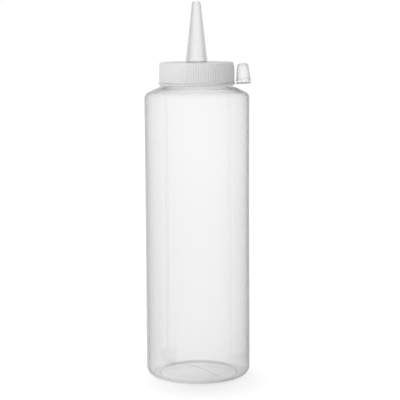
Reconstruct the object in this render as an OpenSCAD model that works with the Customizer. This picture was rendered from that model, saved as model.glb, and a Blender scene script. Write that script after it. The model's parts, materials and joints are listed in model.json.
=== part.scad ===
// Squeeze bottle for sauce: a blown bottle with a threaded neck, a knurled screw cap
// that clamps a cone nozzle on the neck, and a small tip cap parked on a tab beside it.
// Origin: centre of the foot, on the surface the bottle stands on. +Z is up, and the
// tab with the tip cap lies on +X.

/* [Bottle] */
// Outside diameter of the body
body_d = 68.3; // [60:0.1:80]
// Height of the straight side, up to the shoulder's round
body_h = 182.8; // [120:0.1:240]
// Wall of the body, shoulder and base
wall = 1.1; // [0.8:0.1:1.6]
// Round between the side and the foot
base_round = 4.9; // [3:0.1:7]
// Inside diameter of the foot ring that the bottle stands on
foot_inner_d = 51; // [44:0.5:54]
// How far the middle of the base is pushed up
push_up = 3.2; // [3:0.1:5]
// Height of the step inside the foot ring
foot_step_h = 2.2; // [1:0.1:2.8]
// Round between the side and the shoulder
shoulder_round = 4.2; // [2:0.1:7]
// Slope of the shoulder, in degrees from level
shoulder_slope = 25; // [18:1:32]
// Width of the level ledge between the shoulder's slope and the neck
ledge_w = 3.2; // [2.4:0.1:4.5]

/* [Neck and thread] */
// Outside diameter of the neck
neck_d = 41.6; // [38:0.2:43]
// Wall of the neck
neck_wall = 1.6; // [1.3:0.1:2]
// Height of the neck above the ledge
neck_h = 12.8; // [12:0.1:16]
// Round between the ledge and the neck
neck_round = 1.5; // [0.6:0.1:2.2]
// Rise of the thread in one turn
pitch = 5; // [4.6:0.1:5.4]
// Number of turns of the neck's thread
thread_turns = 1.4; // [1.1:0.05:1.5]
// Number of turns of the cap's thread
cap_thread_turns = 1.1; // [0.8:0.05:1.1]
// Distance from the neck's rim down to the upper end of its thread
thread_drop = 2; // [1.6:0.1:2.4]
// Height of a thread rib above its wall
thread_depth = 1.2; // [0.8:0.1:1.4]
// Width of a thread rib at its root
thread_root_w = 2.2; // [1.6:0.1:2.4]
// Width of a thread rib at its crest
thread_crest_w = 1; // [0.6:0.1:1.4]

/* [Screw cap] */
// Wall of the skirt, grip ribs included
skirt_wall = 2.25; // [2:0.05:3.5]
// Thickness of the flat top
cap_top_t = 1.4; // [1:0.1:2.4]
// Number of grip ribs
rib_count = 96; // [60:1:120]
// Height of a grip rib
rib_depth = 0.35; // [0.2:0.05:0.5]
// How far the skirt draws in towards its top edge
skirt_draw_in = 0.7; // [0.1:0.05:0.8]
// Wall below the grip ribs, where the tether ring snaps on
spigot_wall = 1.2; // [0.9:0.05:1.3]

/* [Nozzle] */
// Length of the cone above its bead
cone_l = 29.4; // [15:0.1:50]
// Diameter of the cone above its bead
cone_base_d = 13.1; // [13:0.05:15]
// Diameter of the cone at its upper end
cone_end_d = 6.6; // [6.6:0.02:9]
// Length of the small tip above the cone
tip_l = 4.85; // [3.5:0.05:8]
// Diameter of the small tip below its lead-in
tip_d = 6.4; // [5.6:0.02:6.5]
// Length of the lead-in at the upper end of the tip
tip_lead_l = 2.6; // [1.5:0.1:3]
// How far the lead-in draws in
tip_lead_in = 0.55; // [0.3:0.05:0.6]
// Diameter of the outlet
outlet_d = 3.2; // [2:0.1:3.4]
// Length of the outlet's straight bore
outlet_l = 5.6; // [4.5:0.1:9]
// Wall of the cone
cone_wall = 1.35; // [0.9:0.05:1.8]
// Diameter of the bead at the foot of the cone
bead_d = 13.95; // [13.4:0.05:16]
// Height of the bead
bead_h = 4.35; // [3:0.05:6]
// Diameter of the stem that passes through the cap's top
stem_d = 12.8; // [12:0.1:13.3]
// Wall of the stem
stem_wall = 1.2; // [0.9:0.1:1.8]
// Thickness of the flange that the cap clamps on the neck
flange_t = 1.3; // [0.9:0.1:2]
// How far the flange's edge stays inside the neck's outside
flange_inset = 0.3; // [0.2:0.05:0.6]
// Depth of the plug ring that seals inside the neck
plug_ring_h = 2.5; // [1.5:0.1:4]
// Wall of the plug ring
plug_ring_wall = 1.2; // [0.8:0.1:1.6]

/* [Tether ring and tab] */
// Width of the ring round the foot of the cap, from its bore to its edge
ring_w = 1.45; // [1.4:0.05:4]
// Thickness of the ring
ring_t = 1.5; // [1.1:0.1:2.2]
// How far the snap lip under the ring stands out
lip_out = 0.4; // [0.3:0.05:0.5]
// Thickness of the snap lip
lip_t = 0.4; // [0.3:0.05:0.6]
// Thickness of the tab
tab_t = 0.9; // [0.7:0.05:1.2]
// Width of the tab at its hinge
tab_w = 5.5; // [4:0.1:8]
// How far the tab's round end stays inside the tip cap's rim
tab_inset = 0.2; // [0:0.05:0.3]
// Lean of the tab and the tip cap, outer end up, in degrees
tab_lean = 3; // [0:0.5:3.5]
// Height of the parking plug on the tab
park_plug_h = 3; // [2:0.1:5]
// Wall of the parking plug
park_plug_wall = 0.8; // [0.6:0.1:1.2]
// Height of the four pips that the tip cap's rim stands on
pip_h = 0.75; // [0.5:0.05:1.5]
// Diameter of a pip
pip_d = 0.8; // [0.6:0.1:1.2]

/* [Tip cap] */
// Depth of the tip cap's inside, from its rim to its closed end
hood_depth = 10.6; // [8:0.1:16]
// Wall of the tip cap
hood_wall = 0.75; // [0.6:0.05:1]
// Thickness of the closed end
hood_top_t = 0.8; // [0.6:0.1:1.4]
// Height of the rim at the mouth
rim_h = 1.3; // [0.8:0.1:2]
// How far the rim stands out
rim_out = 0.2; // [0.1:0.05:0.5]
// Round of the closed end
hood_round = 1.3; // [0.8:0.1:1.8]

/* [Clearances] */
// Gap between thread crest and facing wall
thread_gap = 0.3; // [0.2:0.05:0.5]
// Gap between the flanks of the two threads
flank_gap = 0.3; // [0.2:0.05:0.6]
// Gap round the stem in the cap's top
stem_gap = 0.15; // [0.1:0.05:0.3]
// Gap between faces that slide or turn on each other
face_gap = 0.15; // [0.1:0.05:0.25]
// Gap between the nozzle's flange and the neck's rim
seat_gap = 0.05; // [0.02:0.01:0.1]
// Gap round the plug ring in the neck
plug_gap = 0.15; // [0.1:0.05:0.3]
// Gap between the tip cap's inside and the nozzle's tip
hood_gap = 0.1; // [0.05:0.05:0.2]
// Gap between the parking plug and the tip cap's inside
park_gap = 0.12; // [0.08:0.02:0.2]
// Gap between the tab and the ring at the hinge
hinge_gap = 0.15; // [0.1:0.05:0.3]
// Gap between the tip cap's rim and the cap's skirt
hood_to_skirt = 0.9; // [0.9:0.05:2]
// Gap between the shoulder's ledge and the lower edge of the cap
ledge_gap = 0.6; // [0.4:0.05:1.5]

/* [Hidden] */
$fn = 96;

body_r = body_d / 2;
neck_r = neck_d / 2;
bore_r = neck_r - neck_wall;
foot_r = foot_inner_d / 2;
foot_step_r = 1.6;
steps = 8;

// the shoulder, from its round to the ledge and the neck
round_end = 90 - shoulder_slope;
round_r = body_r - shoulder_round + shoulder_round * cos(round_end);
round_z = body_h + shoulder_round * sin(round_end);
ledge_r = neck_r + ledge_w;
ledge_z = round_z + (round_r - ledge_r) * tan(shoulder_slope);
neck_foot_z = ledge_z + neck_round;
neck_top = ledge_z + neck_h;
neck_blend_h = 1.6;

// the threads, on one helix
crest_r = neck_r + thread_depth;
cap_bore_r = crest_r + thread_gap;
cap_crest_r = cap_bore_r - thread_depth;
flank_slope = (thread_root_w - thread_crest_w) / thread_depth;
pair_w = thread_root_w + thread_crest_w - flank_slope * (cap_crest_r - neck_r);
thread_offset = pair_w / 2 + flank_gap;
thread_z = neck_top - thread_drop - thread_turns * pitch;
thread_sink = 0.4;
thread_fade = 30;
thread_step = 7.5;

// the cap, from its lower edge up
lip_z = ledge_z + ledge_gap;
ring_z = lip_z + lip_t + face_gap;
skirt_z = ring_z + ring_t + face_gap;
flange_z = neck_top + seat_gap;
flange_top = flange_z + flange_t;
cap_inside_z = flange_top + face_gap;
cap_top_z = cap_inside_z + cap_top_t;
skirt_r = cap_bore_r + skirt_wall;
spigot_r = cap_bore_r + spigot_wall;
ring_bore_r = spigot_r + face_gap;
ring_r = ring_bore_r + ring_w;
edge_round = 0.35;
draw_h = 6;

// the nozzle
flange_r = neck_r - flange_inset;
plug_ring_r = bore_r - plug_gap;
stem_r = stem_d / 2;
passage_r = stem_r - stem_wall;
bead_z = cap_top_z + face_gap;
cone_foot_z = bead_z + bead_h;
cone_foot_r = cone_base_d / 2;
cone_end_z = cone_foot_z + cone_l;
cone_end_r = cone_end_d / 2;
tip_z = cone_end_z + tip_l;
tip_r = tip_d / 2;
tip_step_h = 0.25;
tip_round = 0.5;
bead_skew = 0.7;
outlet_r = outlet_d / 2;
outlet_z = tip_z - outlet_l;
outlet_lead = 1.2;

// the hinge and the tip cap parked beside the skirt, before they lean
hinge_x = ring_r + hinge_gap + tab_t / 2;
hinge_z = ring_z + ring_t / 2;
tab_top = hinge_z + tab_t / 2;
hood_z = tab_top + pip_h;
mouth_r = hood_inner_r(hood_depth);
rim_r = mouth_r + hood_wall + rim_out;
hood_x = skirt_r + hood_to_skirt + rim_r;
park_plug_r = hood_inner_r(hood_depth - (park_plug_h - pip_h)) - park_gap;
pip_count = 4;
pip_start = 15;

// radius of the nozzle at a depth below its tip, and of the tip cap's inside there
function nozzle_r(depth) = depth < tip_l ? tip_r
    : cone_end_r + (cone_foot_r - cone_end_r) * (depth - tip_l) / cone_l;
function hood_inner_r(depth) = nozzle_r(depth) + hood_gap;

// points along an arc round a centre, from one angle to another
function arc(centre, r, from, to, n = steps) =
    [for (i = [0:n]) let (a = from + (to - from) * i / n) centre + r * [cos(a), sin(a)]];

// half outline of the bottle's skin, inset by a wall, from the middle of the base to the neck
function skin(inset) = concat(
    [for (i = [0:steps]) let (r = (foot_r - foot_step_r) * i / steps)
        [r, inset + push_up - (push_up - foot_step_h) * pow(i / steps, 2)]],
    [[foot_r, inset], [body_r - base_round, inset]],
    arc([body_r - base_round, base_round], base_round - inset, -90, 0),
    arc([body_r - shoulder_round, body_h], shoulder_round - inset, 0, round_end),
    [[ledge_r - inset * tan(shoulder_slope / 2), ledge_z - inset]],
    arc([neck_r + neck_round, neck_foot_z], neck_round + inset, 270, 180));

// a rib on the common helix between two of its turns, fading into its wall at both ends
module helix_rib(wall_r, crest, z, from, to) {
    out = crest > wall_r ? 1 : -1;
    count = ceil((to - from) * 360 / thread_step);
    sunk_r = wall_r - out * thread_sink;
    sunk_w = thread_root_w + flank_slope * thread_sink;
    function fade(a) = min(1, min(a - from * 360, to * 360 - a) / thread_fade);
    function depth(a) = (thread_sink + thread_depth) * fade(a) + thread_sink / 4 * (1 - fade(a));
    function width(a) = sunk_w - flank_slope * depth(a);
    function ring(a) = let (r = sunk_r + out * depth(a), h = z + pitch * a / 360) [
        [sunk_r * cos(a), sunk_r * sin(a), h - sunk_w / 2],
        [r * cos(a), r * sin(a), h - width(a) / 2],
        [r * cos(a), r * sin(a), h + width(a) / 2],
        [sunk_r * cos(a), sunk_r * sin(a), h + sunk_w / 2]];
    points = [for (i = [0:count]) each ring((from + (to - from) * i / count) * 360)];
    last = count * 4;
    sides = [for (i = [0:count - 1], k = [0:3]) let (a = i * 4 + k, b = i * 4 + (k + 1) % 4)
        each [[a, b, b + 4], [a, b + 4, a + 4]]];
    ends = [[3, 2, 1, 0], [last, last + 1, last + 2, last + 3]];
    faces = concat(sides, ends);
    polyhedron(points, out > 0 ? faces : [for (f = faces) [for (k = [len(f) - 1:-1:0]) f[k]]]);
}

// the blown bottle up to the foot of its neck
module bottle_body() {
    inner = skin(wall);
    color([0.93, 0.94, 0.94, 0.6]) rotate_extrude()
        polygon(concat(skin(0), [for (i = [len(inner) - 1:-1:0]) inner[i]]));
}

// the bottle's neck with its thread, in one piece with the body
module bottle_neck() {
    color([0.93, 0.94, 0.94, 0.6]) {
        rotate_extrude() polygon([
            [neck_r - wall, neck_foot_z], [neck_r, neck_foot_z], [neck_r, neck_top],
            [bore_r, neck_top], [bore_r, neck_foot_z + neck_blend_h]]);
        helix_rib(neck_r, crest_r, thread_z, 0, thread_turns);
    }
}

// cone with its small tip, bead and stem, bored through
module nozzle() {
    swell = bead_d / 2 - (stem_r + cone_foot_r) / 2;
    function bead(t) = [
        stem_r + (cone_foot_r - stem_r) * t + swell * sin(180 * pow(t, bead_skew)),
        bead_z + bead_h * t];
    color([0.95, 0.96, 0.96, 0.6]) rotate_extrude() polygon(concat(
        [[passage_r, flange_top], [stem_r, flange_top], [stem_r, bead_z]],
        [for (i = [1:steps]) bead(i / steps)],
        [[cone_end_r, cone_end_z], [tip_r, cone_end_z + tip_step_h], [tip_r, tip_z - tip_lead_l]],
        arc([tip_r - tip_lead_in - tip_round, tip_z - tip_round], tip_round, 0, 90),
        [[outlet_r, tip_z], [outlet_r, outlet_z],
         [cone_end_r - cone_wall, outlet_z - outlet_lead], [passage_r, cone_foot_z]]));
}

// flat ring between two heights
module band(inner_r, outer_r, low, high) {
    rotate_extrude() polygon([[inner_r, low], [outer_r, low], [outer_r, high], [inner_r, high]]);
}

// flange that the cap clamps on the neck, in one piece with the nozzle
module nozzle_flange() {
    color([0.95, 0.96, 0.96, 0.6]) band(passage_r, flange_r, flange_z, flange_top);
}

// ring that seals inside the neck, in one piece with the flange
module plug_ring() {
    color([0.95, 0.96, 0.96, 0.6])
        band(plug_ring_r - plug_ring_wall, plug_ring_r, flange_z - plug_ring_h, flange_z);
}

// outline of the skirt seen from above, with its grip ribs
module ribbed_disc() {
    rib = [[0, skirt_r - rib_depth], [0.3, skirt_r], [0.65, skirt_r]];
    polygon([for (i = [0:rib_count - 1], p = rib)
        let (a = (i + p[0]) * 360 / rib_count) p[1] * [cos(a), sin(a)]]);
}

// solid of the skirt that the ribs are cut to, drawn in towards its top edge
module skirt_form() {
    edge_z = cap_top_z - edge_round;
    edge_r = skirt_r - skirt_draw_in - edge_round;
    rotate_extrude() polygon(concat(
        [[0, skirt_z], [skirt_r, skirt_z]],
        [for (i = [0:steps / 2]) let (t = i * 2 / steps)
            [skirt_r - skirt_draw_in * t * t, edge_z - draw_h * (1 - t)]],
        arc([edge_r, edge_z], edge_round, 0, 90, steps / 2),
        [[0, cap_top_z]]));
}

module screw_cap() {
    cap_h = cap_top_z - lip_z;
    color([0.9, 0.91, 0.91, 0.85]) {
        difference() {
            union() {
                intersection() {
                    translate([0, 0, skirt_z]) linear_extrude(cap_top_z - skirt_z) ribbed_disc();
                    skirt_form();
                }
                translate([0, 0, lip_z]) cylinder(r = spigot_r, h = cap_h / 2);
                translate([0, 0, lip_z]) cylinder(r = spigot_r + lip_out, h = lip_t);
            }
            translate([0, 0, lip_z - 1]) cylinder(r = cap_bore_r, h = cap_inside_z - lip_z + 1);
            translate([0, 0, lip_z]) cylinder(r = stem_r + stem_gap, h = cap_h * 2);
        }
        helix_rib(cap_bore_r, cap_crest_r, thread_z - thread_offset,
            thread_turns - cap_thread_turns, thread_turns);
    }
}

// ring between the skirt and the snap lip, free to turn round the spigot
module tether_ring() {
    edge = ring_r - edge_round;
    color([0.93, 0.94, 0.94, 0.85]) rotate_extrude() polygon(concat(
        [[ring_bore_r, ring_z]],
        arc([edge, ring_z + edge_round], edge_round, -90, 0),
        arc([edge, ring_z + ring_t - edge_round], edge_round, 0, 90),
        [[ring_bore_r, ring_z + ring_t]]));
}

// leans what stands on the tab about the hinge
module lean() {
    translate([hinge_x, 0, hinge_z]) rotate([0, -tab_lean, 0])
        translate([-hinge_x, 0, -hinge_z]) children();
}

// tab with its rolled hinge edge, the parking plug and the pips under the rim
module tether_tab() {
    tab_end_r = rim_r - tab_inset;
    tab_middle = tab_top - tab_t / 2;
    color([0.93, 0.94, 0.94, 0.85]) lean() {
        translate([0, 0, tab_top - tab_t]) linear_extrude(tab_t) {
            translate([hood_x, 0]) circle(r = tab_end_r);
            translate([hinge_x, -tab_w / 2]) square([hood_x - hinge_x, tab_w]);
        }
        translate([hinge_x, 0, hinge_z]) rotate([90, 0, 0])
            cylinder(r = tab_t / 2, h = tab_w, center = true);
        translate([hood_x, 0, tab_middle]) difference() {
            cylinder(r = park_plug_r, h = park_plug_h + tab_t / 2);
            translate([0, 0, tab_t / 2]) cylinder(r = park_plug_r - park_plug_wall, h = park_plug_h + 1);
        }
        for (i = [0:pip_count - 1])
            translate([hood_x, 0, tab_middle]) rotate(pip_start + i * 360 / pip_count)
                translate([mouth_r, 0]) cylinder(d = pip_d, h = tab_t / 2 + pip_h - face_gap);
    }
}

// hood whose inside follows the nozzle's tip, mouth down
module tip_cap() {
    top_z = hood_z + hood_depth;
    step = 0.01;
    crown_r = tip_r + hood_gap + hood_wall - hood_round;
    function inner(depth) = [hood_inner_r(depth), top_z - depth];
    color([0.95, 0.96, 0.96, 0.6]) lean() translate([hood_x, 0, 0]) rotate_extrude() polygon(concat(
        [[0, top_z], inner(0), inner(tip_l - step), inner(tip_l), inner(hood_depth)],
        [[rim_r, hood_z], [rim_r, hood_z + rim_h * 0.7],
         [hood_inner_r(hood_depth - rim_h) + hood_wall, hood_z + rim_h],
         [hood_inner_r(tip_l) + hood_wall, top_z - tip_l]],
        arc([crown_r, top_z + hood_top_t - hood_round], hood_round, 0, 90),
        [[0, top_z + hood_top_t]]));
}

bottle_body();
bottle_neck();
nozzle();
nozzle_flange();
plug_ring();
screw_cap();
tether_ring();
tether_tab();
tip_cap();
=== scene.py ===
import json
from math import atan2, ceil, cos, degrees, exp, hypot, pi, radians, sin, sqrt, tan

import bmesh
import bpy
from mathutils import Matrix, Vector

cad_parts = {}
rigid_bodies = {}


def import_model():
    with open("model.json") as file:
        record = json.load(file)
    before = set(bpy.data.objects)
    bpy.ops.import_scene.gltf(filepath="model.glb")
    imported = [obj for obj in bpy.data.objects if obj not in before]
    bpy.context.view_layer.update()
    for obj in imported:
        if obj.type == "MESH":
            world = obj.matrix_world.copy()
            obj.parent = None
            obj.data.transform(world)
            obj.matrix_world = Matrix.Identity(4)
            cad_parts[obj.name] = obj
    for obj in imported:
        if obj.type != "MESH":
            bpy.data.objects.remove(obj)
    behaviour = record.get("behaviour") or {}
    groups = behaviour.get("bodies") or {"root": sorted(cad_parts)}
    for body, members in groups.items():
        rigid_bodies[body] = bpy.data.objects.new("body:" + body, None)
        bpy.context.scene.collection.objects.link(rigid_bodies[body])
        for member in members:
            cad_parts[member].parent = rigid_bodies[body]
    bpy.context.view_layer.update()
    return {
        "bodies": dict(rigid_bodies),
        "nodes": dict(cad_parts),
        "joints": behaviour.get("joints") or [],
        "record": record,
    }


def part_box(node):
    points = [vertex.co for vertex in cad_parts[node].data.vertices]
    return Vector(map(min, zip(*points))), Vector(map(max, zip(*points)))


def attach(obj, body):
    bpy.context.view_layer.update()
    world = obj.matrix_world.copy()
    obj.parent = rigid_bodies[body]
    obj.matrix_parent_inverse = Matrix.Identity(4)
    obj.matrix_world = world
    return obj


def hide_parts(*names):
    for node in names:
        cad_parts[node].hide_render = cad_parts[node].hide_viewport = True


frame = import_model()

MM = 0.001
TOUCH = 0.01    # mm within which two sizes count as the same

# Camera, fitted to the photo's outlines: distances in mm, angles in degrees
FOCAL_PX = 1372
FRAME_PX = 400
SENSOR_MM = 36
CAMERA_DISTANCE = 901
CAMERA_PITCH = 7.47
CAMERA_ROLL = 0.31
CAMERA_ASIDE = 1.7
AIM_Z = 115.8

# Floor, in metres
FLOOR_GREY = 0.6
FLOOR_DROP = 0.0002
FAR_GLOW, FAR_SPAN = 0.02, (0.5, 1.5)

# Bottle, in mm
WALL = 1.1
BASE_ROUND = 4.9
FOOT_INNER_R = 25.5
FOOT_STEP_W = 1.6
FOOT_STEP_H = 1.2
FOOT_STEP_ROUND = 0.8
PUSH_UP = 3.2
BODY_H = 182.8
SHOULDER_ROUND = 4.2
SHOULDER_SLOPE = radians(25)
LEDGE_W = 3.2
LEDGE_ROUND = 1.2
LEDGE_MITRE = 0.22    # how far the ledge's corner moves in for each mm of inset
NECK_R = 20.8
NECK_H = 12.8
NECK_WALL = 1.6
NECK_ROUND = 1.5
NECK_BLEND_H = 1.6
NECK_RIM_ROUND = 0.3
WAIST = 0.15
WAIST_H = 150
SEAM_ANGLE = atan2(-0.797, 0.604)
SEAM_OUT = 0.13
SEAM_W = 0.2
SEAM_FROM_R = 30
SEAM_STEPS = (0, 0.12, 0.25, 0.4, 0.6, 0.9)
SEAM_CLEAR = 0.4

# Light through the bottle's wall: shares of it, and in mm from where to where each changes
SIDE_LOW, SIDE_HIGH, SIDE_Z = 0.852, 0.9, (BASE_ROUND, 170)
BASE_PASSED, BASE_R, BASE_Z = 0.984, (30.5, 33.8), (6, 7)
FOOT_SHARE, FOOT_R, FOOT_Z = 0.98, (28.5, 29.5), (0.6, 1.4)
STEP_SHARE, STEP_OFF, STEP_Z = 0.975, (0.2, 0.9), (3, 5)
SEAM_SHARE, SEAM_LINE, SEAM_OFF, SEAM_Z = 0.94, 0.8, (0.2, 0.6), (6, 10)
WELD_SHARE, WELD_OFF, WELD_Z = 0.975, (0.4, 1.2), (4.5, 6)
SHOULDER_SHARE, SHOULDER_Z = 0.955, (181.2, 186.5)
NECK_LOW, NECK_PASSED, NECK_Z = 0.8, 0.99, (187, 190.2)
BOTTLE_RIM = (12, 9)
LEAST_FACING = 0.06    # of 1 head-on: a surface seen flatter than this counts as this

# Two thick spots at the weld's ends, in mm: the far one and then the near one; SPOT_SHADE darkens their
# colour as painted shade
SPOT_BASE_SHARE, SPOT_WALL_SHARE, SPOT_SHADE = 0.99, 0.76, 0.7
SPOT_R, SPOT_L = 30, 12
SPOT_WIDTHS, SPOT_HEIGHTS = (6, 13), (11, 20)
SPOT_CHANGE = (-10, 10)
SPOT_EDGE, SPOT_TOP = (0.1, 1.3), (0.2, 1)    # shares of the spot's own size

# Threads on one helix
PITCH = 5
THREAD_TURNS = 1.4
CAP_THREAD_TURNS = 1.1
THREAD_DROP = 2
THREAD_DEPTH = 1.2
THREAD_ROOT_W = 2.2
THREAD_CREST_W = 1
THREAD_GAP = 0.3
THREAD_OFFSET = 1.75
THREAD_FADE = radians(30)

# Screw cap
CAP_TOP_T = 1.4
RIB_COUNT = 96
RIB_DEPTH = 0.22
RIB_TURN, RIB_FLANK = 0.03, 0.15    # shares of the ribs' spacing
GROOVE_R = 21.2
GROOVE_W = 0.8
GROOVE_FLANK = 0.4
GROOVE_DEPTH = 0.15
SKIRT_DRAW_IN = 0.7
DRAW_H = 6
EDGE_ROUND = 0.35
SPIGOT_WALL = 1.2
SKIRT_WALL = 2.25
LIP_OUT = 0.4
LIP_T = 0.4
FACE_GAP = 0.15
STEM_GAP = 0.15

# Nozzle
STEM_R = 6.4
STEM_WALL = 1.2
FLANGE_T = 1.3
FLANGE_INSET = 0.3
PLUG_RING_H = 2.5
PLUG_RING_WALL = 1.2
PLUG_GAP = 0.15
BEAD_R = 6.975
BEAD_SKEW = 0.7
BEAD_H = 4.35
CONE_FOOT_R = 6.55
CONE_END_R = 3.3
CONE_WALL = 1.35
TIP_R = 3.2
TIP_L = 4.85
TIP_STEP_H = 0.25
TIP_LEAD_L = 2.6
TIP_LEAD_IN = 0.55
TIP_ROUND = 0.5
OUTLET_R = 1.6
OUTLET_L = 5.6
OUTLET_LEAD = 1.2

# Ring, tab and tip cap
TAB_T = 0.9
TAB_W = 5.5
TAB_LEAN = radians(3)
TAB_INSET = 0.2
TAB_ROOT_L = 1.1
TAB_SPREAD = radians(150)
TAB_EDGE = 0.27
HINGE_GAP = 0.15
PIP_H = 0.75
PIP_R = 0.4
PIP_COUNT = 4
PIP_START = radians(15)
PARK_PLUG_H = 3
PARK_PLUG_WALL = 0.8
PARK_DISH = 1.2
PARK_GAP = 0.12
SINK = 0.1    # how far what stands on the tab reaches into it
HOOD_DEPTH = 10.6
HOOD_WALL = 0.75
HOOD_TOP_T = 0.8
HOOD_GAP = 0.1
HOOD_TO_SKIRT = 0.9
RIM_H = 1.3
RIM_OUT = 0.2
HOOD_SHOULDER_R = 3.75
HOOD_SHOULDER_DROP = 1.5
HOOD_CROWN_R = 2.75

# Steps round each turned piece
BOTTLE_STEPS = 216
NOZZLE_STEPS = 128
STEPS_PER_RIB = 8
RING_STEPS = 192
HOOD_STEPS = 96
PLUG_STEPS = 72
PIP_STEPS = 20

# Plastic: its clouds by their scale, its skin's grain and its milky depth in mm
PLASTIC_IOR = 1.51
FLOW_SCALE, FLOW_DETAIL, FLOW_STRETCH = 90, 4, (1, 1, 0.12)
SHINE_SCALE, SHINIER, DULLER = 260, 0.05, 0.06
GRAIN_DETAIL, GRAIN_H, GRAIN_STRENGTH = 2, 0.05, 0.25
MILKY_SHARE, MILKY_DEPTH = 0.6, 1.5


def node_box(node):
    low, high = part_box(node)
    return low / MM, high / MM


# Heights and radii that the frame gives, in mm
BODY_R = node_box("bottle_body")[1].y
NECK_TOP = node_box("bottle_neck")[1].z
LIP_Z, CAP_TOP = (corner.z for corner in node_box("screw_cap"))
RING_LOW, RING_TOP = (corner.z for corner in node_box("tether_ring"))
RING_R = node_box("tether_ring")[1].y
TIP_Z = node_box("nozzle")[1].z
FLANGE_LOW = node_box("nozzle_flange")[0].z
LEDGE_Z = NECK_TOP - NECK_H
LEDGE_R = NECK_R + LEDGE_W
BORE_R = NECK_R - NECK_WALL
THREAD_Z = NECK_TOP - THREAD_DROP - THREAD_TURNS * PITCH
CAP_BORE_R = NECK_R + THREAD_DEPTH + THREAD_GAP
SKIRT_R = CAP_BORE_R + SKIRT_WALL
SKIRT_Z = RING_TOP + FACE_GAP
SPIGOT_R = CAP_BORE_R + SPIGOT_WALL
HINGE_X = RING_R + HINGE_GAP + TAB_T / 2
HINGE_Z = (RING_LOW + RING_TOP) / 2
TAB_TOP = HINGE_Z + TAB_T / 2
CONE_END_Z = TIP_Z - TIP_L
BEAD_Z = CAP_TOP + FACE_GAP
CONE_FOOT_Z = BEAD_Z + BEAD_H


# Shapes

def arc(x, z, r, start, end, steps=8):
    """Points round (x, z) from one angle to another, in degrees."""
    turns = [radians(start + (end - start) * i / steps) for i in range(steps + 1)]
    return [(x + r * cos(a), z + r * sin(a)) for a in turns]


def rounded(points, steps=5):
    """Outline whose corners (x, z, round) are turned on an arc of that radius.

    The first and the last point say which way the outline comes and goes.
    """
    out = []
    for i, (x, z, *size) in enumerate(points):
        if not size or not 0 < i < len(points) - 1:
            out.append((x, z))
            continue
        here = Vector((x, z))
        back = (Vector(points[i - 1][:2]) - here).normalized()
        on = (Vector(points[i + 1][:2]) - here).normalized()
        half = back.angle(on) / 2
        reach = size[0] / max(0.05, abs(tan(half)))
        centre = here + (back + on).normalized() * size[0] / sin(half)
        a, b = here + back * reach - centre, here + on * reach - centre
        for k in range(steps + 1):
            spoke = a.slerp(b, k / steps).normalized() * size[0] if a.angle(b) > 1e-4 else a
            out.append(tuple(centre + spoke))
    return out


def spaced(points, step):
    """The same outline with no stretch longer than step."""
    out = [points[0]]
    for (x0, z0), (x1, z1) in zip(points, points[1:]):
        count = max(1, ceil(hypot(x1 - x0, z1 - z0) / step))
        out += [(x0 + (x1 - x0) * i / count, z0 + (z1 - z0) * i / count) for i in range(1, count + 1)]
    return out


def smooth(obj, crease=radians(38)):
    """Smooth shading, with edges sharper than crease left as edges."""
    mesh = bmesh.new()
    mesh.from_mesh(obj.data)
    bmesh.ops.recalc_face_normals(mesh, faces=mesh.faces)
    for face in mesh.faces:
        face.smooth = True
    for edge in mesh.edges:
        edge.smooth = len(edge.link_faces) != 2 or edge.calc_face_angle() < crease
    mesh.to_mesh(obj.data)
    mesh.free()


def new_piece(name, verts, faces, place=None):
    """An object from points in mm, moved by place if one is given."""
    mesh = bpy.data.meshes.new(name)
    points = [Vector(v) if place is None else place @ Vector(v) for v in verts]
    mesh.from_pydata([p * MM for p in points], [], faces)
    mesh.validate()
    obj = bpy.data.objects.new(name, mesh)
    bpy.context.scene.collection.objects.link(obj)
    smooth(obj)
    return obj


def even_angles(count):
    return [2 * pi * i / count for i in range(count)]


def lathe(name, outline, angles, push=None, closed=False, place=None, inner=()):
    """Turns an outline of (radius, height) round Z. push(angle, r, z) may move each point.

    The stretches of the outline that inner lists take the piece's second material.
    """
    verts, rings = [], []
    for r, z in outline:
        if r < 1e-6:
            rings.append([len(verts)] * len(angles))
            verts.append((0, 0, z))
            continue
        rings.append(range(len(verts), len(verts) + len(angles)))
        for a in angles:
            pr, pz = push(a, r, z) if push else (r, z)
            verts.append((pr * cos(a), pr * sin(a), pz))
    pairs = list(zip(rings, rings[1:])) + ([(rings[-1], rings[0])] if closed else [])
    faces = []
    for low, high in pairs:
        for i in range(len(angles)):
            k = (i + 1) % len(angles)
            corners = [low[i], low[k], high[k], high[i]]
            faces.append([c for n, c in enumerate(corners) if c not in corners[:n]])
    piece = new_piece(name, verts, faces, place)
    for face in piece.data.polygons:
        face.material_index = int(face.index // len(angles) in inner)
    return piece


def turn_gap(a, b):
    """Least turn between two angles."""
    return abs((a - b + pi) % (2 * pi) - pi)


def bell(x, width):
    return exp(-(x / width) ** 2)


def thread_height(a, z, start_z, first, last):
    """How far a thread rib stands out of its wall at an angle and a height.

    The helix passes start_z at angle 0, and the rib runs from turn first to turn last.
    """
    best = 0
    for turn in range(int(last) + 2):
        run = a + 2 * pi * turn
        if not first * 2 * pi <= run <= last * 2 * pi:
            continue
        fade = min(1, (run - first * 2 * pi) / THREAD_FADE, (last * 2 * pi - run) / THREAD_FADE)
        away = abs(z - start_z - PITCH * run / (2 * pi))
        flank = (THREAD_ROOT_W / 2 - away) / ((THREAD_ROOT_W - THREAD_CREST_W) / 2)
        rise = min(1, max(0, flank))
        best = max(best, fade * rise * rise * (3 - 2 * rise))
    return THREAD_DEPTH * best


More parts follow.
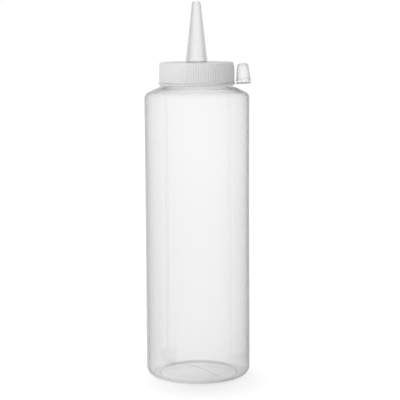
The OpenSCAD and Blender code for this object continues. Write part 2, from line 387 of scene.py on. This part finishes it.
def bottle_outline(inset):
    """The bottle's skin from the middle of its base to its neck, inset by a wall."""
    centre_r = FOOT_INNER_R - FOOT_STEP_W
    dome = PUSH_UP - FOOT_STEP_H
    base = [(centre_r * t, inset + PUSH_UP - dome * t * t) for t in (i / 24 for i in range(25))]
    step = rounded([
        base[-1], (FOOT_INNER_R - FOOT_STEP_ROUND, inset + FOOT_STEP_H / 2, FOOT_STEP_ROUND),
        (FOOT_INNER_R, inset), (BODY_R - BASE_ROUND, inset)])
    round_end = 90 - degrees(SHOULDER_SLOPE)
    return (
        base + step[1:]
        + arc(BODY_R - BASE_ROUND, BASE_ROUND, BASE_ROUND - inset, -90, 0, 12)[1:]
        + arc(BODY_R - SHOULDER_ROUND, BODY_H, SHOULDER_ROUND - inset, 0, round_end, 12)
        + rounded([
            (LEDGE_R + 2, LEDGE_Z - inset - 2 * tan(SHOULDER_SLOPE)),
            (LEDGE_R - inset * LEDGE_MITRE, LEDGE_Z - inset, LEDGE_ROUND),
            (LEDGE_R - 1.4, LEDGE_Z - inset)])
        + arc(NECK_R + NECK_ROUND, LEDGE_Z + NECK_ROUND, NECK_ROUND + inset, 270, 180, 10)
    )


def bottle_angles():
    """Even steps round the bottle, with finer ones at the two mould seams."""
    near = [side * d / BODY_R for d in SEAM_STEPS for side in (-1, 1)]
    fine = [(SEAM_ANGLE + half + d) % (2 * pi) for half in (0, pi) for d in near]
    clear = SEAM_CLEAR / BODY_R
    coarse = [a for a in even_angles(BOTTLE_STEPS) if min(turn_gap(a, f) for f in fine) > clear]
    return sorted(set(round(a, 6) for a in coarse + fine))


def uneven(a, z):
    """How far the inside of the blown wall wanders at an angle and a height."""
    return 0.042 * sin(3 * a + 0.6) + 0.024 * sin(7 * a + z / 60) + 0.012 * sin(17 * a + 2) - 0.1


def make_bottle():
    outer = spaced(bottle_outline(0), step=3)
    rim = rounded([
        (NECK_R, NECK_TOP - 1), (NECK_R, NECK_TOP, NECK_RIM_ROUND),
        (BORE_R, NECK_TOP, NECK_RIM_ROUND), (BORE_R, NECK_TOP - 1)])
    neck = spaced([outer[-1], rim[0]], step=0.2)[1:-1]
    inner_neck = spaced([rim[-1], (BORE_R, LEDGE_Z + NECK_ROUND + NECK_BLEND_H)], step=2)[1:]
    inner = spaced(bottle_outline(WALL), step=3)[::-1]
    outline = outer + neck + rim + inner_neck + inner

    def push(a, r, z):
        seam = min(turn_gap(a, SEAM_ANGLE), turn_gap(a, SEAM_ANGLE + pi))
        outside = r > BODY_R - TOUCH or z < BASE_ROUND and r > BODY_R - BASE_ROUND
        if abs(r - NECK_R) < TOUCH and LEDGE_Z + NECK_ROUND < z:
            return r + thread_height(a, z, THREAD_Z, 0, THREAD_TURNS), z
        if outside and z < BODY_H:
            waist = WAIST * sin(pi * min(1, (BODY_H - z) / WAIST_H)) if z > BASE_ROUND else 0
            ridge = SEAM_OUT * bell(seam * BODY_R, SEAM_W) if r > SEAM_FROM_R else 0
            return r - waist + ridge, z
        if BODY_R - WALL - TOUCH < r < BODY_R - WALL / 2 and z > BASE_ROUND:
            return r + uneven(a, z), z
        return r, z

    inner_start = len(outline) - len(inner) - len(inner_neck)
    return lathe("bottle_skin", outline, bottle_angles(), push, inner=range(inner_start, len(outline)))


def make_nozzle():
    plug_r = BORE_R - PLUG_GAP
    flange_r = NECK_R - FLANGE_INSET
    flange_top = FLANGE_LOW + FLANGE_T
    swell = BEAD_R - (STEM_R + CONE_FOOT_R) / 2
    bead = [(STEM_R + (CONE_FOOT_R - STEM_R) * t + swell * sin(pi * t ** BEAD_SKEW), BEAD_Z + BEAD_H * t)
            for t in (i / 16 for i in range(17))]
    passage_r = STEM_R - STEM_WALL
    outline = rounded([
        (passage_r, FLANGE_LOW + 0.5), (passage_r, FLANGE_LOW, 0.25),
        (plug_r - PLUG_RING_WALL, FLANGE_LOW, 0.3),
        (plug_r - PLUG_RING_WALL, FLANGE_LOW - PLUG_RING_H, 0.25),
        (plug_r, FLANGE_LOW - PLUG_RING_H, 0.35),
        (plug_r, FLANGE_LOW, 0.1), (flange_r, FLANGE_LOW, 0.15), (flange_r, flange_top, 0.3),
        (STEM_R, flange_top, 0.2), (STEM_R, BEAD_Z)])
    outline += bead[1:]
    outline += spaced([bead[-1], (CONE_END_R, CONE_END_Z)], step=2)[1:]
    top_r = TIP_R - TIP_LEAD_IN
    outline += rounded([
        (CONE_END_R, CONE_END_Z), (TIP_R, CONE_END_Z + TIP_STEP_H, 0.4), (TIP_R, TIP_Z - TIP_LEAD_L, 2),
        (top_r, TIP_Z - TIP_ROUND)], 6)[1:-1]
    outline += arc(top_r - TIP_ROUND, TIP_Z - TIP_ROUND, TIP_ROUND, 0, 90)
    inner_start = len(outline)
    outline += rounded([(OUTLET_R + 0.4, TIP_Z), (OUTLET_R, TIP_Z, 0.12), (OUTLET_R, TIP_Z - 1)])
    outline += [(OUTLET_R, TIP_Z - OUTLET_L), (CONE_END_R - CONE_WALL, TIP_Z - OUTLET_L - OUTLET_LEAD)]
    outline += spaced([outline[-1], (passage_r, CONE_FOOT_Z)], step=2)[1:]
    inside = range(inner_start, len(outline))
    return lathe("nozzle_skin", outline, even_angles(NOZZLE_STEPS), closed=True, inner=inside)


def rib_share(a):
    """How much of the grip ribs' height stands at an angle: 0 between two ribs, 1 on one."""
    turn = (a * RIB_COUNT / (2 * pi) + RIB_TURN) % 1
    return min(1, max(0, (min(turn, 1 - turn) - RIB_FLANK) / RIB_FLANK))


def make_cap():
    inside_z = CAP_TOP - CAP_TOP_T
    hole_r = STEM_R + STEM_GAP
    edge_r = SKIRT_R - SKIRT_DRAW_IN
    top = rounded([(hole_r, inside_z + 0.5), (hole_r, CAP_TOP, 0.2), (hole_r + 1.6, CAP_TOP)])
    groove_in, groove_out = GROOVE_R - GROOVE_W / 2, GROOVE_R + GROOVE_W / 2
    top += rounded([
        (groove_in - GROOVE_FLANK, CAP_TOP), (groove_in, CAP_TOP - GROOVE_DEPTH, 0.2),
        (groove_out, CAP_TOP - GROOVE_DEPTH, 0.2), (groove_out + GROOVE_FLANK, CAP_TOP)])
    top += arc(edge_r - EDGE_ROUND, CAP_TOP - EDGE_ROUND, EDGE_ROUND, 90, 0, 6)
    draw = [(SKIRT_R - SKIRT_DRAW_IN * t * t, CAP_TOP - EDGE_ROUND - DRAW_H * (1 - t))
            for t in (1 - i / 10 for i in range(11))]
    corner_steps = 3
    foot = rounded([
        (SKIRT_R, SKIRT_Z + 1), (SKIRT_R, SKIRT_Z, 0.12), (SPIGOT_R, SKIRT_Z, 0.1),
        (SPIGOT_R, LIP_Z + LIP_T, 0.1), (SPIGOT_R + LIP_OUT, LIP_Z + LIP_T, 0.1),
        (SPIGOT_R + LIP_OUT, LIP_Z, 0.15), (CAP_BORE_R, LIP_Z, 0.2),
        (CAP_BORE_R, LIP_Z + 1)], corner_steps)
    bore = spaced([foot[-1], (CAP_BORE_R, inside_z - 0.4)], step=0.25)[1:]
    roof = rounded([bore[-1], (CAP_BORE_R, inside_z, 0.3), (hole_r, inside_z)])[1:]
    skirt = top + draw[1:] + spaced([draw[-1], foot[0]], step=1.5)[1:-1]
    outline = skirt + foot + bore + roof
    one_corner = corner_steps + 1
    thin = range(len(skirt) + one_corner, len(skirt + foot) + one_corner)

    def push(a, r, z):
        if r > SPIGOT_R + LIP_OUT + 0.2 and SKIRT_Z - TOUCH < z < CAP_TOP - 0.05:
            return r - RIB_DEPTH * (1 - rib_share(a)), z
        if abs(r - CAP_BORE_R) < TOUCH and LIP_Z + 1 <= z:
            first = THREAD_TURNS - CAP_THREAD_TURNS
            return r - thread_height(a, z, THREAD_Z - THREAD_OFFSET, first, THREAD_TURNS), z
        return r, z

    angles = even_angles(RIB_COUNT * STEPS_PER_RIB)
    return lathe("cap_shell", outline, angles, push, closed=True, inner=thin)


def make_ring():
    bore_r = SPIGOT_R + FACE_GAP
    outline = rounded([
        (bore_r + 0.5, RING_LOW), (RING_R, RING_LOW, EDGE_ROUND), (RING_R, RING_TOP, EDGE_ROUND),
        (bore_r, RING_TOP, 0.1), (bore_r, RING_LOW, 0.1), (bore_r + 0.4, RING_LOW)])
    return lathe("ring_band", outline, even_angles(RING_STEPS), closed=True)


def lean():
    """Leans what stands on the tab about its hinge, with the tip cap's axis at local X = 0."""
    hinge = Matrix.Translation((HINGE_X, 0, HINGE_Z))
    lean_over = hinge @ Matrix.Rotation(-TAB_LEAN, 4, "Y") @ hinge.inverted()
    return lean_over @ Matrix.Translation((HOOD_X, 0, 0))


def nozzle_r(depth):
    """Radius of the nozzle at a depth below its tip, with its lead-in left out."""
    if depth < TIP_L:
        return TIP_R
    return CONE_END_R + (CONE_FOOT_R - CONE_END_R) * (depth - TIP_L) / (CONE_END_Z - CONE_FOOT_Z)


MOUTH_R = nozzle_r(HOOD_DEPTH) + HOOD_GAP
RIM_R = MOUTH_R + HOOD_WALL + RIM_OUT
HOOD_X = SKIRT_R + HOOD_TO_SKIRT + RIM_R
HOOD_Z = TAB_TOP + PIP_H


def make_tip_cap():
    top_z = HOOD_Z + HOOD_DEPTH
    end_z = top_z + HOOD_TOP_T
    inside = rounded([
        (0, top_z), (TIP_R - TIP_LEAD_IN, top_z, 0.4), (TIP_R + HOOD_GAP, top_z - TIP_LEAD_L, 1),
        (TIP_R + HOOD_GAP, top_z - TIP_L, 0.5), (MOUTH_R, HOOD_Z, 0.12), (RIM_R, HOOD_Z)])
    foot_r = RIM_R - RIM_OUT
    outside = rounded([
        (MOUTH_R, HOOD_Z), (RIM_R, HOOD_Z, 0.12), (RIM_R, HOOD_Z + RIM_H * 0.5, 0.3),
        (foot_r, HOOD_Z + RIM_H, 0.5), (HOOD_SHOULDER_R, end_z - HOOD_SHOULDER_DROP, 3.2),
        (HOOD_CROWN_R, end_z, 0.9), (0, end_z)], 8)
    inside = spaced(inside[:-1], step=1)
    outline = inside + spaced(outside[1:], step=1)
    inner = range(len(inside) - 1)
    return lathe("tip_cap_skin", outline, even_angles(HOOD_STEPS), place=lean(), inner=inner)


def make_tab():
    """The tab's spoon outline, rounded at its edges, in the tip cap's leaning frame."""
    end_r = RIM_R - TAB_INSET
    root = HINGE_X - HOOD_X
    half_w = TAB_W / 2
    turns = [TAB_SPREAD * (i / 24 * 2 - 1) for i in range(49)]
    outline = [(end_r * cos(a), end_r * sin(a)) for a in turns]
    outline += [(root + TAB_ROOT_L, half_w), (root, half_w), (root, -half_w), (root + TAB_ROOT_L, -half_w)]
    count = len(outline)
    rise = [(0, TAB_EDGE), (TAB_EDGE * 0.3, TAB_EDGE * 0.3), (TAB_EDGE, 0)]
    layers = [(TAB_TOP - TAB_T + up, inset) for up, inset in rise]
    layers += [(TAB_TOP - up, inset) for up, inset in rise[::-1]]
    verts, faces = [], []
    for z, inset in layers:
        shrink = 1 - inset / end_r
        verts += [(x * shrink, y * shrink, z) for x, y in outline]
    for k in range(len(layers) - 1):
        for i in range(count):
            n = (i + 1) % count
            faces.append([k * count + i, k * count + n, (k + 1) * count + n, (k + 1) * count + i])
    faces += [list(range(count))[::-1], [len(verts) - count + i for i in range(count)]]
    return new_piece("tab_plate", verts, faces, lean())


def make_park_plug():
    outer_r = nozzle_r(HOOD_DEPTH - PARK_PLUG_H + PIP_H) + HOOD_GAP - PARK_GAP
    top = TAB_TOP + PARK_PLUG_H
    outline = rounded([
        (0, top - PARK_DISH), (outer_r - PARK_PLUG_WALL, top - PARK_DISH, 0.3),
        (outer_r - PARK_PLUG_WALL, top, 0.2), (outer_r, top, 0.3), (outer_r, TAB_TOP - SINK)])
    outline.append((0, TAB_TOP - SINK))
    return lathe("park_plug", outline, even_angles(PLUG_STEPS), place=lean())


def make_pip(number):
    angle = PIP_START + 2 * pi * number / PIP_COUNT
    top = TAB_TOP + PIP_H - FACE_GAP
    outline = rounded([
        (0, TAB_TOP - SINK), (PIP_R, TAB_TOP - SINK), (PIP_R * 0.9, top, 0.15), (0, top)])
    spot = Matrix.Translation((MOUTH_R * cos(angle), MOUTH_R * sin(angle), 0))
    return lathe(f"pip_{number}", outline, even_angles(PIP_STEPS), place=lean() @ spot)


# Materials

def principled(name):
    material = bpy.data.materials.new(name)
    material.use_nodes = True
    return material, material.node_tree, material.node_tree.nodes["Principled BSDF"]


def noise(tree, scale, detail=3, stretch=(1, 1, 1)):
    """Cloudy value from the object's own coordinates, in metres."""
    place = tree.nodes.new("ShaderNodeTexCoord")
    scaled = tree.nodes.new("ShaderNodeMapping")
    scaled.inputs["Scale"].default_value = stretch
    tree.links.new(place.outputs["Object"], scaled.inputs["Vector"])
    cloud = tree.nodes.new("ShaderNodeTexNoise")
    cloud.inputs["Scale"].default_value = scale
    cloud.inputs["Detail"].default_value = detail
    tree.links.new(scaled.outputs["Vector"], cloud.inputs["Vector"])
    return cloud.outputs["Fac"]


def to_range(tree, value, low, high, start=0.3, end=0.7):
    node = tree.nodes.new("ShaderNodeMapRange")
    node.inputs["From Min"].default_value = start
    node.inputs["From Max"].default_value = end
    node.inputs["To Min"].default_value = low
    node.inputs["To Max"].default_value = high
    tree.links.new(value, node.inputs["Value"])
    return node.outputs["Result"]


def bumpy(tree, shader, height, distance, strength=1):
    bump = tree.nodes.new("ShaderNodeBump")
    bump.inputs["Distance"].default_value = distance * MM
    bump.inputs["Strength"].default_value = strength
    tree.links.new(height, bump.inputs["Height"])
    tree.links.new(bump.outputs["Normal"], shader.inputs["Normal"])


def colour_between(tree, shader, value, dark, light):
    mix = tree.nodes.new("ShaderNodeMix")
    mix.data_type = "RGBA"
    mix.inputs["A"].default_value = (*dark, 1)
    mix.inputs["B"].default_value = (*light, 1)
    tree.links.new(value, mix.inputs["Factor"])
    tree.links.new(mix.outputs["Result"], shader.inputs["Base Color"])


def math_node(tree, operation, a, b=0):
    """A node for one sum, whose inputs are numbers or other nodes' outputs."""
    node = tree.nodes.new("ShaderNodeMath")
    node.operation = operation
    for socket, value in zip(node.inputs, (a, b)):
        if isinstance(value, (int, float)):
            socket.default_value = value
        else:
            tree.links.new(value, socket)
    return node.outputs[0]


def place_of(tree, frame="Object"):
    """X, Y and Z on the object, in metres, or in another frame of the same node."""
    place = tree.nodes.new("ShaderNodeTexCoord")
    split = tree.nodes.new("ShaderNodeSeparateXYZ")
    tree.links.new(place.outputs[frame], split.inputs[0])
    return split.outputs


def larger(tree, a, b):
    return math_node(tree, "MAXIMUM", a, b)


def times(tree, a, b):
    return math_node(tree, "MULTIPLY", a, b)


def ratio(tree, a, b):
    return math_node(tree, "DIVIDE", a, b)


def apart(tree, a, b):
    return math_node(tree, "ABSOLUTE", math_node(tree, "SUBTRACT", a, b))


def length(tree, a, b):
    return math_node(tree, "SQRT", math_node(tree, "ADD", times(tree, a, a), times(tree, b, b)))


def weighted(tree, a, of_a, b, of_b):
    return math_node(tree, "ADD", times(tree, a, of_a), times(tree, b, of_b))


def see_through(tree, shader, passed, hollow, rim=None):
    """Alpha by how far light runs in a round wall whose inside is hollow times its outside.

    passed is the share that gets through one wall head-on. A hollow of 1 is a flat film, and
    rim, an amount and a power, adds what a thick wall bends away near its outline.
    """
    least = max(LEAST_FACING, sqrt(1 - hollow * hollow))
    weight = tree.nodes.new("ShaderNodeLayerWeight")
    weight.inputs["Blend"].default_value = 0.5
    facing = larger(tree, math_node(tree, "SUBTRACT", 1, weight.outputs["Facing"]), least)
    if hollow == 1:
        path = ratio(tree, 1, facing)
    else:
        square = math_node(tree, "ADD", times(tree, facing, facing), hollow * hollow - 1)
        beyond = math_node(tree, "SQRT", larger(tree, square, 0))
        path = ratio(tree, math_node(tree, "SUBTRACT", facing, beyond), 1 - hollow)
    if rim:
        extra, power = rim
        bent = math_node(tree, "POWER", math_node(tree, "SUBTRACT", 1, facing), power)
        path = times(tree, path, math_node(tree, "ADD", 1, times(tree, bent, extra)))
    alpha = math_node(tree, "SUBTRACT", 1, math_node(tree, "POWER", passed, path))
    tree.links.new(alpha, shader.inputs["Alpha"])


def plastic(name, pale, dull, rough, grain):
    """Natural polyethylene: two greys, cloudy along its flow, and a moulded skin's fine grain."""
    material, tree, shader = principled(name)
    shader.inputs["IOR"].default_value = PLASTIC_IOR
    flow = noise(tree, FLOW_SCALE, FLOW_DETAIL, FLOW_STRETCH)
    colour_between(tree, shader, to_range(tree, flow, 0, 1), (dull,) * 3, (pale,) * 3)
    shine = to_range(tree, noise(tree, SHINE_SCALE), rough - SHINIER, rough + DULLER)
    tree.links.new(shine, shader.inputs["Roughness"])
    bumpy(tree, shader, noise(tree, grain, GRAIN_DETAIL), GRAIN_H, GRAIN_STRENGTH)
    return material, tree, shader


def clear_plastic(name, pale, dull, rough, grain, passed, hollow=1, rim=None):
    material, tree, shader = plastic(name, pale, dull, rough, grain)
    see_through(tree, shader, passed, hollow, rim)
    return material


def milky_plastic(name, pale, dull, rough, grain):
    material, tree, shader = plastic(name, pale, dull, rough, grain)
    shader.inputs["Subsurface Weight"].default_value = MILKY_SHARE
    shader.inputs["Subsurface Radius"].default_value = (1, 1, 1)
    shader.inputs["Subsurface Scale"].default_value = MILKY_DEPTH * MM
    return material


def share_over(tree, value, low, high, span):
    """A share that goes from low to high while value, in metres, crosses a span in mm."""
    return to_range(tree, value, low, high, span[0] * MM, span[1] * MM)


def thin_share(tree, along, off, z):
    """0 in the two thick spots at the weld's ends, where the wall meets the base, 1 elsewhere."""
    end = math_node(tree, "SUBTRACT", math_node(tree, "ABSOLUTE", along), SPOT_R * MM)
    far_w, near_w = SPOT_WIDTHS
    far_h, near_h = SPOT_HEIGHTS
    width = share_over(tree, along, far_w * MM, near_w * MM, SPOT_CHANGE)
    height = share_over(tree, along, far_h * MM, near_h * MM, SPOT_CHANGE)
    spread = length(tree, ratio(tree, end, SPOT_L * MM), ratio(tree, off, width))
    edge = to_range(tree, spread, 0, 1, *SPOT_EDGE)
    return larger(tree, edge, to_range(tree, ratio(tree, z, height), 0, 1, *SPOT_TOP))


def wall_passed(tree):
    """Share of light through the blown wall, and a number that is 0 in its two thick spots.

    The wall is thicker low down, at the shoulder, at the seams and along the weld. The base is
    seen at a grazing angle and takes a share of its own.
    """
    x, y, z = place_of(tree)
    away = length(tree, x, y)
    along = weighted(tree, x, cos(SEAM_ANGLE), y, sin(SEAM_ANGLE))
    off = math_node(tree, "ABSOLUTE", weighted(tree, x, sin(SEAM_ANGLE), y, -cos(SEAM_ANGLE)))
    base_lift = BASE_PASSED / SIDE_LOW
    base = math_node(tree, "MINIMUM", share_over(tree, away, base_lift, 1, BASE_R),
                     share_over(tree, z, base_lift, 1, BASE_Z))
    foot = larger(tree, share_over(tree, z, FOOT_SHARE, 1, FOOT_Z),
                  share_over(tree, away, 1, FOOT_SHARE, FOOT_R))
    from_step = apart(tree, away, FOOT_INNER_R * MM)
    step = larger(tree, share_over(tree, from_step, STEP_SHARE, 1, STEP_OFF),
                  share_over(tree, z, 0, 1, STEP_Z))
    from_line = apart(tree, off, SEAM_LINE * MM)
    seam = larger(tree, share_over(tree, from_line, SEAM_SHARE, 1, SEAM_OFF),
                  share_over(tree, z, 1, 0, SEAM_Z))
    weld = larger(tree, share_over(tree, off, WELD_SHARE, 1, WELD_OFF),
                  share_over(tree, z, 0, 1, WELD_Z))
    thin = thin_share(tree, along, off, z)
    spot_share = share_over(tree, away, SPOT_BASE_SHARE, SPOT_WALL_SHARE, BASE_R)
    full = math_node(tree, "SUBTRACT", 1, spot_share)
    spot = math_node(tree, "ADD", spot_share, times(tree, thin, full))
    shoulder = share_over(tree, z, 1, SHOULDER_SHARE, SHOULDER_Z)
    passed = share_over(tree, z, SIDE_LOW, SIDE_HIGH, SIDE_Z)
    for share in (base, foot, step, seam, weld, spot, shoulder):
        passed = times(tree, passed, share)
    return larger(tree, passed, share_over(tree, z, NECK_LOW, NECK_PASSED, NECK_Z)), thin


def blown_wall(name, pale, dull, rough, grain):
    """The bottle's outer skin, whose colour is darkened at its two thick spots as painted shade."""
    material, tree, shader = plastic(name, pale, dull, rough, grain)
    passed, thin = wall_passed(tree)
    see_through(tree, shader, passed, 1 - WALL / BODY_R, BOTTLE_RIM)
    # Painted shade: the base colour is scaled down to SPOT_SHADE in the two thick spots
    shade = tree.nodes.new("ShaderNodeVectorMath")
    shade.operation = "SCALE"
    colour = shader.inputs["Base Color"]
    tree.links.new(colour.links[0].from_socket, shade.inputs[0])
    tree.links.new(to_range(tree, thin, SPOT_SHADE, 1, 0, 1), shade.inputs["Scale"])
    tree.links.new(shade.outputs[0], colour)
    return material


# Stage

def make_camera():
    pitch, roll = radians(CAMERA_PITCH), radians(CAMERA_ROLL)
    data = bpy.data.cameras.new("camera")
    data.sensor_width = SENSOR_MM
    data.lens = FOCAL_PX / FRAME_PX * SENSOR_MM
    data.clip_end = 20
    right, up = Vector((1, 0, 0)), Vector((0, sin(pitch), cos(pitch)))
    back = Vector((0, -cos(pitch), sin(pitch)))
    turned_right = right * cos(roll) - up * sin(roll)
    turned_up = right * sin(roll) + up * cos(roll)
    camera = bpy.data.objects.new("camera", data)
    camera.matrix_world = Matrix((turned_right, turned_up, back)).transposed().to_4x4()
    camera.location = (Vector((CAMERA_ASIDE, 0, AIM_Z)) + back * CAMERA_DISTANCE) * MM
    bpy.context.scene.collection.objects.link(camera)
    bpy.context.scene.camera = camera


def seen_only(tree):
    """1 for rays that show the background, seen, mirrored or through plastic, and 0 for light."""
    path = tree.nodes.new("ShaderNodeLightPath")
    total = path.outputs["Is Camera Ray"]
    for name in ("Is Glossy Ray", "Is Transmission Ray"):
        total = larger(tree, total, path.outputs[name])
    return total


def make_world(level, above):
    """White to the eye; lights the bottle with level from the sides, falling to above overhead."""
    world = bpy.data.worlds.new("studio")
    bpy.context.scene.world = world
    world.use_nodes = True
    tree = world.node_tree
    background = tree.nodes["Background"]
    background.inputs["Color"].default_value = (1, 1, 1, 1)
    light = to_range(tree, place_of(tree, "Generated")["Z"], level, above, 0, 1)
    missing = times(tree, math_node(tree, "SUBTRACT", 1, light), seen_only(tree))
    tree.links.new(math_node(tree, "ADD", light, missing), background.inputs["Strength"])


def make_floor(size, near, bounce, painted_shadow, painted_shadow_r, painted_shadow_at):
    """A pale floor that glows to white for the eye, keeps the bottle's real soft shadow and carries a
    painted shadow as well.

    The glow is near, lower in a painted shadow round a given spot, and rises further out.
    bounce is its share for light that falls on the bottle.
    """
    bpy.ops.mesh.primitive_plane_add(size=size, location=(0, 0, -FLOOR_DROP))
    floor = bpy.context.object
    floor.name = "floor"
    material, tree, shader = principled("floor_white")
    shader.inputs["Base Color"].default_value = (FLOOR_GREY, FLOOR_GREY, FLOOR_GREY, 1)
    shader.inputs["Roughness"].default_value = 0.9
    shader.inputs["Specular IOR Level"].default_value = 0
    shader.inputs["Emission Color"].default_value = (1, 1, 1, 1)
    place = tree.nodes.new("ShaderNodeTexCoord")
    away = tree.nodes.new("ShaderNodeVectorMath")
    away.operation = "DISTANCE"
    tree.links.new(place.outputs["Object"], away.inputs[0])
    away.inputs[1].default_value = painted_shadow_at
    # Painted shadow: the glow is lowest at its centre and back to near at its radius
    level = to_range(tree, away.outputs["Value"], near - painted_shadow, near, 0, painted_shadow_r)
    further = to_range(tree, away.outputs["Value"], 0, FAR_GLOW, *FAR_SPAN)
    level = math_node(tree, "ADD", level, further)
    seen = larger(tree, seen_only(tree), bounce)
    tree.links.new(times(tree, level, seen), shader.inputs["Emission Strength"])
    floor.data.materials.append(material)


def make_light(name, power, size, place, target=(0, 0, 0.12)):
    data = bpy.data.lights.new(name, "SUN")
    data.energy = power
    data.angle = size
    light = bpy.data.objects.new(name, data)
    light.location = place
    light.rotation_euler = (Vector(target) - Vector(place)).to_track_quat("-Z", "Y").to_euler()
    bpy.context.scene.collection.objects.link(light)


make_camera()
bpy.context.scene.view_settings.view_transform = "Standard"
make_world(level=0.76, above=0.36)
# The floor's painted shadow sits just in front of the bottle's middle, besides the real shadow
make_floor(size=12, near=0.69, bounce=0.225, painted_shadow=0.25, painted_shadow_r=0.055, painted_shadow_at=(0.004, -0.026, 0))
make_light("key", power=1.25, size=radians(40), place=(-0.8, -1.14, 0.62))

# Greys pale and dull, roughness and grain, then the share of light that passes a clear wall
BOTTLE_WALL = blown_wall("bottle_wall", 0.55, 0.52, 0.34, 1600)
BOTTLE_INSIDE = clear_plastic("bottle_inside", 0.55, 0.52, 0.34, 1600, passed=0.978)
NOZZLE_WALL = clear_plastic("nozzle_wall", 0.55, 0.51, 0.28, 1800, passed=0.87, hollow=0.68, rim=(2.6, 1))
NOZZLE_INSIDE = clear_plastic("nozzle_inside", 0.55, 0.51, 0.28, 1800, passed=0.995)
CAP_PLASTIC = milky_plastic("cap_plastic", 0.81, 0.78, 0.42, 2000)
CAP_FOOT = clear_plastic("cap_foot", 0.84, 0.8, 0.42, 2000, passed=0.93)
TETHER_PLASTIC = clear_plastic("tether_plastic", 0.84, 0.8, 0.4, 2000, passed=0.45)
TAB_PLASTIC = clear_plastic("tab_plastic", 0.84, 0.8, 0.4, 2000, passed=0.7)
PLUG_PLASTIC = clear_plastic("plug_plastic", 0.8, 0.76, 0.35, 2000, passed=0.975)
TIP_CAP_WALL = clear_plastic("tip_cap_wall", 0.55, 0.51, 0.3, 1800, passed=0.88, hollow=0.82, rim=(1.6, 1))
TIP_CAP_INSIDE = clear_plastic("tip_cap_inside", 0.55, 0.51, 0.3, 1800, passed=0.985)


def dress(piece, body, materials, slot, *nodes):
    """Gives a piece its materials and its body, and hides the nodes that it is drawn for. slot is not used.
    """
    for material in materials:
        piece.data.materials.append(material)
    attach(piece, body)
    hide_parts(*nodes)


dress(make_bottle(), "bottle", [BOTTLE_WALL, BOTTLE_INSIDE], "bottle_plastic", "bottle_body", "bottle_neck")
dress(make_nozzle(), "nozzle_body", [NOZZLE_WALL, NOZZLE_INSIDE], "nozzle_plastic",
      "nozzle", "nozzle_flange", "plug_ring")
dress(make_cap(), "cap", [CAP_PLASTIC, CAP_FOOT], "cap_plastic", "screw_cap")
dress(make_ring(), "ring", [TETHER_PLASTIC], "tether_plastic", "tether_ring")
dress(make_tab(), "tab", [TAB_PLASTIC], "tether_plastic", "tether_tab")
dress(make_park_plug(), "tab", [PLUG_PLASTIC], "tether_plastic", "tether_tab")
for number in range(PIP_COUNT):
    dress(make_pip(number), "tab", [TAB_PLASTIC], "tether_plastic", "tether_tab")
dress(make_tip_cap(), "tip_cap_body", [TIP_CAP_WALL, TIP_CAP_INSIDE], "tip_cap_plastic", "tip_cap")
